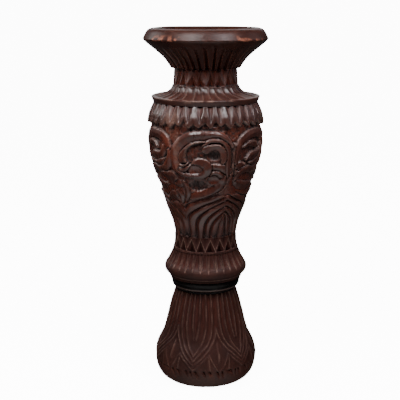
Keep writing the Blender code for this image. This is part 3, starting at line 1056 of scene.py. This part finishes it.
def remap(tree, value, low, high, out_low=0.0, out_high=1.0):
    """out_low + (out_high - out_low) (value - low) / (high - low), clamped to the output range."""
    node = tree.nodes.new("ShaderNodeMapRange")
    node.inputs["From Min"].default_value = low
    node.inputs["From Max"].default_value = high
    node.inputs["To Min"].default_value = out_low
    node.inputs["To Max"].default_value = out_high
    tree.links.new(value, node.inputs["Value"])
    return node.outputs["Result"]


def mix(tree, factor, first, second):
    """first (1 - factor) + second factor. first and second are colours or sockets."""
    node = tree.nodes.new("ShaderNodeMix")
    node.data_type = "RGBA"
    tree.links.new(factor, node.inputs["Factor"])
    for name, colour in (("A", first), ("B", second)):
        socket = next(s for s in node.inputs if s.name == name and s.type == "RGBA")
        if isinstance(colour, tuple):
            socket.default_value = (*colour, 1.0)
        else:
            tree.links.new(colour, socket)
    return next(s for s in node.outputs if s.type == "RGBA")


def combine(tree, operation, first, second):
    """A Math node on two sockets or numbers."""
    node = tree.nodes.new("ShaderNodeMath")
    node.operation = operation
    for socket, value in zip(node.inputs, (first, second)):
        if isinstance(value, (int, float)):
            socket.default_value = value
        else:
            tree.links.new(value, socket)
    return node.outputs[0]


def attribute(tree, name):
    """One of the numbers kept on each vertex."""
    node = tree.nodes.new("ShaderNodeAttribute")
    node.attribute_name = name
    return node.outputs["Fac"]


def bump(tree, surface, height, distance):
    """Tilts the surface as if it stood height times distance metres proud."""
    node = tree.nodes.new("ShaderNodeBump")
    node.inputs["Distance"].default_value = distance
    tree.links.new(height, node.inputs["Height"])
    tree.links.new(node.outputs["Normal"], surface.inputs["Normal"])


# %% Carved wood
GLAZE = (0.024, 0.0088, 0.0070), (0.044, 0.0155, 0.0110)
MAHOGANY = (0.052, 0.0105, 0.0065), (0.092, 0.021, 0.0105)
# The dark colour painted as shade, which also darkens the wood's tone.
SHADE_AND_DIRT_COLOUR = (0.013, 0.0028, 0.0018)
ALONG_GRAIN = (1, 1, 0.12)


def carved_wood(name, smoothest, roughest, shine, bare_and_highlight_colour):
    """Glaze, then mahogany by stain, painted shade, and bare wood that also paints highlights.

    Each polish has its own range of roughness, strength of reflection and bare colour, which is
    also the colour of its painted highlights.
    """
    material, tree, surface = shader(name)
    streaks = noise(tree, 90, 6, ALONG_GRAIN, 0.6)
    patches = noise(tree, 22, 3)
    specks = noise(tree, 600, 3)
    glaze = mix(tree, remap(tree, streaks, 0.35, 0.7), *GLAZE)
    mahogany = mix(tree, remap(tree, patches, 0.35, 0.65), *MAHOGANY)
    stained = combine(tree, "ADD", attribute(tree, "stain"), remap(tree, patches, 0.3, 0.7, -0.22, 0.12))
    colour = mix(tree, remap(tree, stained, 0.0, 1.0, 0.0, 0.85), glaze, mahogany)
    dirt_and_shade = attribute(tree, "dirt_and_shade")
    colour = mix(tree, dirt_and_shade, colour, SHADE_AND_DIRT_COLOUR)
    flecked = remap(tree, specks, 0.38, 0.6, 0.35, 1.0)
    rubbed_and_lit = combine(tree, "MULTIPLY", attribute(tree, "wear_and_highlight"), flecked)
    colour = mix(tree, rubbed_and_lit, colour, bare_and_highlight_colour)
    tree.links.new(colour, surface.inputs["Base Color"])
    polish = remap(tree, streaks, 0.3, 0.7, smoothest, roughest)
    roughness = combine(tree, "ADD", polish, remap(tree, dirt_and_shade, 0, 1, 0, 0.38))
    tree.links.new(roughness, surface.inputs["Roughness"])
    surface.inputs["Specular IOR Level"].default_value = shine
    pores = combine(tree, "MULTIPLY", noise(tree, 420, 3, (1, 1, 0.25)), 0.7)
    bump(tree, surface, combine(tree, "ADD", pores, streaks), 0.00016)
    return material


# %% Lacquer, bare wood, brass and felt


def lacquer_and_shade():
    """Near-black lacquer that also stands in for shade, with a painted highlight line."""
    material, tree, surface = shader("black_lacquer")
    wear = noise(tree, 60, 4, (1, 1, 0.5))
    black = mix(tree, remap(tree, wear, 0.4, 0.75), (0.0016, 0.0013, 0.0013), (0.005, 0.0032, 0.0030))
    colour = mix(tree, attribute(tree, "wear_and_highlight"), black, (0.16, 0.11, 0.095))
    tree.links.new(colour, surface.inputs["Base Color"])
    tree.links.new(remap(tree, wear, 0.3, 0.7, 0.2, 0.4), surface.inputs["Roughness"])
    surface.inputs["Specular IOR Level"].default_value = 0.08
    bump(tree, surface, noise(tree, 260, 3), 0.0002)
    return material


def bare_wood():
    """Unfinished hardwood for the dowels: long fibres between a dark and a light tan."""
    material, tree, surface = shader("bare_wood")
    fibres = noise(tree, 160, 5, (1, 1, 0.06), 0.4)
    colour = mix(tree, fibres, (0.30, 0.18, 0.09), (0.52, 0.35, 0.19))
    tree.links.new(colour, surface.inputs["Base Color"])
    surface.inputs["Roughness"].default_value = 0.75
    bump(tree, surface, fibres, 0.0003)
    return material


def brass():
    """Brass dulled by patches of tarnish, which are darker and less polished."""
    material, tree, surface = shader("dulled_brass")
    tarnish = noise(tree, 70, 5)
    colour = mix(tree, remap(tree, tarnish, 0.35, 0.7), (0.62, 0.42, 0.17), (0.26, 0.17, 0.075))
    tree.links.new(colour, surface.inputs["Base Color"])
    tree.links.new(remap(tree, tarnish, 0.3, 0.7, 0.28, 0.5), surface.inputs["Roughness"])
    surface.inputs["Metallic"].default_value = 1.0
    bump(tree, surface, noise(tree, 500, 3), 0.00008)
    return material


def felt():
    """Dark green pressed felt: fine fluff between two greens, with a soft sheen."""
    material, tree, surface = shader("pressed_felt")
    fluff = noise(tree, 900, 5)
    colour = mix(tree, fluff, (0.010, 0.014, 0.009), (0.05, 0.06, 0.045))
    tree.links.new(colour, surface.inputs["Base Color"])
    surface.inputs["Roughness"].default_value = 0.95
    surface.inputs["Sheen Weight"].default_value = 0.4
    bump(tree, surface, fluff, 0.0006)
    return material


# %% Give every piece its finish


def paint(material, *pieces):
    """Gives each piece this material alone."""
    for piece in pieces:
        piece.data.materials.clear()
        piece.data.materials.append(material)


brass_finish, dowel_wood = brass(), bare_wood()
paint(carved_wood("polished_lip", 0.13, 0.23, 0.16, (0.27, 0.10, 0.062)), candle_dish)
paint(carved_wood("carved_wood", 0.25, 0.37, 0.37, (0.19, 0.115, 0.090)), neck_flange, carved_vase)
paint(carved_wood("dry_carved_wood", 0.44, 0.56, 0.13, (0.19, 0.118, 0.094)), carved_skirt, carved_bell)
paint(lacquer_and_shade(), bead_ring)
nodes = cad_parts
paint(dowel_wood, nodes["lower_dowel"], nodes["upper_dowel"])
paint(brass_finish, nodes["drip_pan"], *(nodes[n] for n in nodes if n.startswith("pan_screw")))
paint(felt(), nodes["felt_pad"])
print("materials:", [m.name for m in bpy.data.materials if m.users])

# %% [markdown]
# ## Studio
#
# A round pale floor curves up into a wall. It shines for the camera alone, and the wood is lit by
# lamps. Two soft boxes stand high in front, so that every cut throws a shadow, and two thin
# strips below them draw the streaks on the lip. A broad light hangs overhead, light comes back up
# from the floor, a card stands on each side, and a soft light behind keeps the back readable.

# %% The floor


def studio_bowl():
    """A round floor that curves up into a wall on every side, the same for each view.

    Its outline is flat to the floor's radius, a quarter circle of radius bend, and then straight
    up. Only the camera sees it: it lights nothing and casts nothing.
    """
    floor_radius, bend, wall_top, sides = 2.2, 1.0, 4.5, 64
    bends = np.linspace(0, math.pi / 2, 12)
    quarter = [(floor_radius + bend * math.sin(a), bend - bend * math.cos(a)) for a in bends]
    run = [(0.02, 0.0), *quarter, (floor_radius + bend, wall_top)]
    turns = np.linspace(0, math.tau, sides, endpoint=False)
    verts = [(r * math.cos(a), r * math.sin(a), z) for r, z in run for a in turns] + [(0.0, 0.0, 0.0)]
    faces = []
    for row in range(len(run) - 1):
        for k in range(sides):
            low, high = row * sides, (row + 1) * sides
            faces.append((low + k, high + k, high + (k + 1) % sides, low + (k + 1) % sides))
    faces += [(len(verts) - 1, k, (k + 1) % sides) for k in range(sides)]
    mesh = bpy.data.meshes.new("studio_bowl")
    mesh.from_pydata(verts, [], faces)
    mesh.shade_smooth()
    bowl = bpy.data.objects.new("studio_bowl", mesh)
    bpy.context.scene.collection.objects.link(bowl)
    material, _, surface = shader("studio_white")
    surface.inputs["Base Color"].default_value = (0.86, 0.86, 0.86, 1)
    surface.inputs["Roughness"].default_value = 0.9
    surface.inputs["Emission Color"].default_value = (1, 1, 1, 1)
    surface.inputs["Emission Strength"].default_value = 12.0
    bowl.data.materials.append(material)
    bowl.visible_diffuse = False
    bowl.visible_glossy = False
    bowl.visible_shadow = False


studio_bowl()

# %% Lights and camera


def area_light(name, place, target, size, power, colour=(1, 1, 1)):
    """A rectangular lamp at a place, turned to face its target, that the camera doesn't see."""
    data = bpy.data.lights.new(name, "AREA")
    data.shape = "RECTANGLE"
    data.size, data.size_y = size
    data.energy = power
    data.color = colour
    lamp = bpy.data.objects.new(name, data)
    lamp.location = place
    lamp.visible_camera = False
    lamp.rotation_euler = (Vector(target) - Vector(place)).to_track_quat("-Z", "Y").to_euler()
    bpy.context.scene.collection.objects.link(lamp)


def around(azimuth, elevation, distance, height=0.2):
    """A place round the object: azimuth 0 is the front, and it grows towards the right.

    x = d cos(e) sin(a), y = -d cos(e) cos(a), z = height + d sin(e).
    """
    a, e = math.radians(azimuth), math.radians(elevation)
    flat = distance * math.cos(e)
    return (flat * math.sin(a), -flat * math.cos(a), height + distance * math.sin(e))


middle = (0, 0, 0.19)
top_part = (0, 0, 0.27)
area_light("key", around(-34, 50, 0.52, 0.27), top_part, (0.26, 0.22), 4.3, (1.0, 0.97, 0.96))
area_light("second", around(40, 48, 0.54, 0.27), top_part, (0.22, 0.22), 3.0, (0.98, 0.96, 1.0))
area_light("left_strip", around(-30, 33, 0.62, 0.28), top_part, (0.20, 0.03), 1.5)
area_light("right_strip", around(38, 33, 0.62, 0.28), top_part, (0.18, 0.03), 1.2)
area_light("top", around(0, 74, 1.1), middle, (0.9, 0.6), 2.0)
area_light("floor_bounce", (0, -0.3, -0.35), middle, (1.2, 0.8), 2.4, (1.0, 0.97, 0.93))
area_light("table_glow", (0, -0.22, -0.16), (0, 0, 0.01), (0.4, 0.2), 0.25)
area_light("back_fill", around(180, 30, 1.3), middle, (0.9, 0.9), 2.5)
area_light("left_card", around(-112, 24, 0.9, 0.25), top_part, (0.5, 0.5), 3.2, (1.0, 0.98, 0.96))
area_light("right_card", around(108, 24, 1.3), middle, (0.6, 0.7), 1.4, (0.9, 0.92, 1.0))

world = bpy.data.worlds.new("studio")
world.use_nodes = True
sky = world.node_tree.nodes["Background"]
sky.inputs["Color"].default_value = (1, 1, 1, 1)
sky.inputs["Strength"].default_value = 0.045
bpy.context.scene.world = world

LOOKS_DOWN = 12.852
camera_data = bpy.data.cameras.new("camera")
camera_data.lens = 81.25
camera_data.sensor_width = 36.0
camera_data.shift_x = -0.014
camera = bpy.data.objects.new("camera", camera_data)
camera.location = (0.0, -0.760, 0.332)
camera.rotation_euler = (math.radians(90 - LOOKS_DOWN), 0.0, 0.0)
bpy.context.scene.collection.objects.link(camera)
bpy.context.scene.camera = camera
print("lamps:", sorted(lamp.name for lamp in bpy.data.lights))
